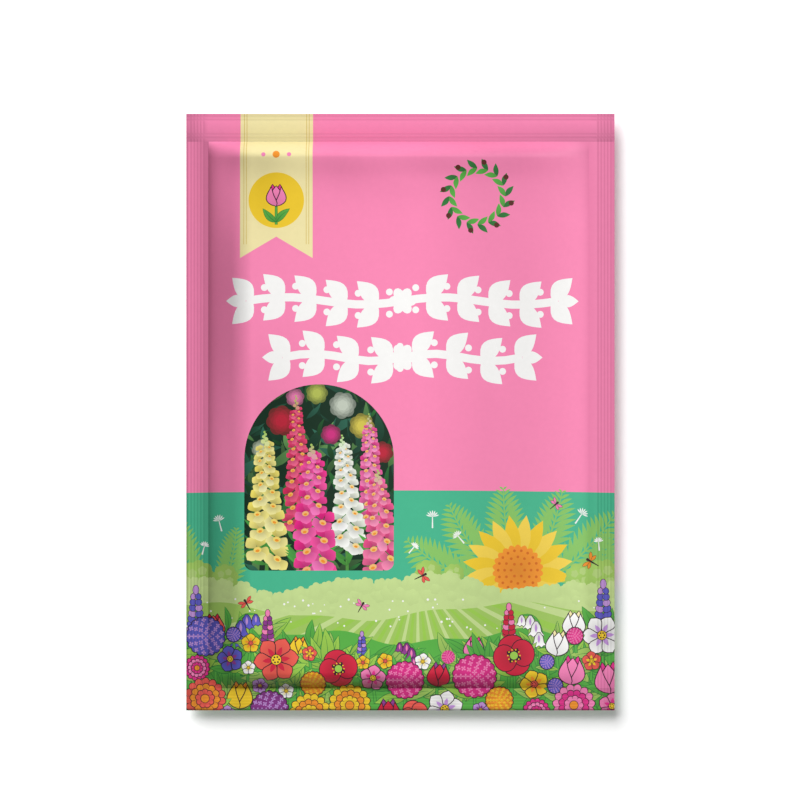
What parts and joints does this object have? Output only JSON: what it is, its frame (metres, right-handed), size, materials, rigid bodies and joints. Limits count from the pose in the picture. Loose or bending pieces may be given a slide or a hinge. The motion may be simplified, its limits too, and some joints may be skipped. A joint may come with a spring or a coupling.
{
  "type": "seed packet",
  "caption": "Flat heat-sealed foil seed packet lying on its back, with grooved welds on all four edges, a puffed printed body and loose seeds inside.",
  "frame": {"origin": "centre of the packet's outline, on the surface that its back film rests on", "axes": "+X across the packet, to the right as the front is read; +Y up the packet, towards its top seal; +Z out of the front film"},
  "size_m": [0.1006, 0.14, 0.0097],
  "materials": {
    "front_film": "satin printed laminate, metallised inside",
    "back_film": "satin printed laminate, metallised inside",
    "seeds": "dull rough seed coat"
  },
  "bodies": {
    "root": {"front_film": "front_film", "back_film": "back_film", "seeds": "seeds"}
  },
  "joints": []
}
